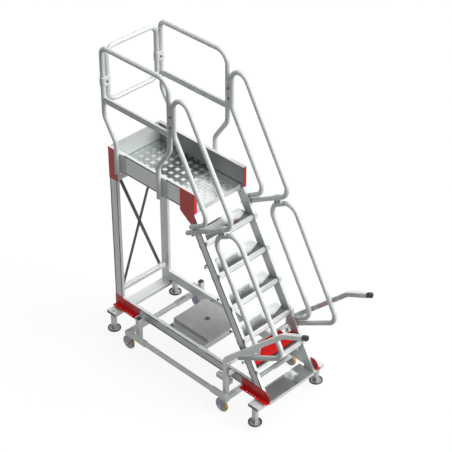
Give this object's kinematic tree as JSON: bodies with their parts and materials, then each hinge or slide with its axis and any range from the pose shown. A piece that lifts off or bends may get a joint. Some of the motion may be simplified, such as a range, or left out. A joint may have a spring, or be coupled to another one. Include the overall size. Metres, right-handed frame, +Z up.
{
  "type": "mobile platform ladder",
  "caption": "Rolling platform ladder: steep aluminium stair with tube handrails up to a guarded deck, on a braced slotted-profile base with levelling feet, lift levers and swivel castors.",
  "frame": {"origin": "on the floor under the middle of the overall box", "axes": "+Y the way a climber walks up, +X to the climber's right, +Z up"},
  "size_m": [0.858, 2.272, 2.7646],
  "materials": {
    "profile_alu": "satin extrusion",
    "tube_alu": "satin tube",
    "tread_alu": "ribbed and chequered",
    "red_coat": "powder coat",
    "slate_coat": "powder coat",
    "black_plastic": "gloss",
    "ballast": "rough concrete",
    "foot_grey": "satin",
    "castor_wheel": "nylon disc with a polyurethane tread",
    "zinc": "zinc plate"
  },
  "bodies": {
    "ladder": {"ballast_slab": "ballast", "ballast_tray": "profile_alu", "base_beam_left": "profile_alu", "base_beam_right": "profile_alu", "base_plate_front_left": "red_coat", "base_plate_front_right": "red_coat", "base_plate_rear_left": "red_coat", "base_plate_rear_right": "red_coat", "board_left": "profile_alu", "board_rear": "profile_alu", "board_right": "profile_alu", "brace_a": "slate_coat", "brace_b": "slate_coat", "corner_front_left": "red_coat", "corner_front_right": "red_coat", "corner_rear_left": "red_coat", "corner_rear_right": "red_coat", "deck": "tread_alu", "foot_front_left": "foot_grey", "foot_front_right": "foot_grey", "foot_rear_left": "foot_grey", "foot_rear_right": "foot_grey", "frame_cross_front": "profile_alu", "frame_cross_rear": "profile_alu", "frame_side_left": "profile_alu", "frame_side_right": "profile_alu", "front_traverse": "tread_alu", "guard_rail_left": "tube_alu", "guard_rail_right": "tube_alu", "handrail_lower_left": "tube_alu", "handrail_lower_right": "tube_alu", "handrail_upper_left": "tube_alu", "handrail_upper_right": "tube_alu", "knob_left": "black_plastic", "knob_right": "black_plastic", "lever_left": "profile_alu", "lever_right": "profile_alu", "lever_tie": "profile_alu", "rear_crossbar_high": "profile_alu", "rear_crossbar_low": "profile_alu", "rear_guard": "tube_alu", "rear_post_left": "profile_alu", "rear_post_right": "profile_alu", "rear_traverse": "tread_alu", "step_cover": "red_coat", "stringer_left": "profile_alu", "stringer_right": "profile_alu", "tread_2": "tread_alu", "tread_3": "tread_alu", "tread_4": "tread_alu", "tread_5": "tread_alu", "tread_6": "tread_alu"},
    "fork_front_left": {"castor_fork_front_left": "zinc"},
    "wheel_front_left": {"castor_wheel_front_left": "castor_wheel"},
    "fork_front_right": {"castor_fork_front_right": "zinc"},
    "wheel_front_right": {"castor_wheel_front_right": "castor_wheel"},
    "fork_rear_left": {"castor_fork_rear_left": "zinc"},
    "wheel_rear_left": {"castor_wheel_rear_left": "castor_wheel"},
    "fork_rear_right": {"castor_fork_rear_right": "zinc"},
    "wheel_rear_right": {"castor_wheel_rear_right": "castor_wheel"}
  },
  "joints": [
    {"name": "swivel_front_left", "type": "hinge", "parent": "ladder", "child": "fork_front_left", "pos_m": [-0.402, -0.319, 0.14], "axis": [0, 0, 1], "continuous": true},
    {"name": "spin_front_left", "type": "hinge", "parent": "fork_front_left", "child": "wheel_front_left", "pos_m": [-0.402, -0.279, 0.0625], "axis": [1, 0, 0], "continuous": true},
    {"name": "swivel_front_right", "type": "hinge", "parent": "ladder", "child": "fork_front_right", "pos_m": [0.402, -0.319, 0.14], "axis": [0, 0, 1], "continuous": true},
    {"name": "spin_front_right", "type": "hinge", "parent": "fork_front_right", "child": "wheel_front_right", "pos_m": [0.402, -0.279, 0.0625], "axis": [1, 0, 0], "continuous": true},
    {"name": "swivel_rear_left", "type": "hinge", "parent": "ladder", "child": "fork_rear_left", "pos_m": [-0.402, 0.796, 0.14], "axis": [0, 0, 1], "continuous": true},
    {"name": "spin_rear_left", "type": "hinge", "parent": "fork_rear_left", "child": "wheel_rear_left", "pos_m": [-0.402, 0.836, 0.0625], "axis": [1, 0, 0], "continuous": true},
    {"name": "swivel_rear_right", "type": "hinge", "parent": "ladder", "child": "fork_rear_right", "pos_m": [0.402, 0.796, 0.14], "axis": [0, 0, 1], "continuous": true},
    {"name": "spin_rear_right", "type": "hinge", "parent": "fork_rear_right", "child": "wheel_rear_right", "pos_m": [0.402, 0.836, 0.0625], "axis": [1, 0, 0], "continuous": true}
  ]
}
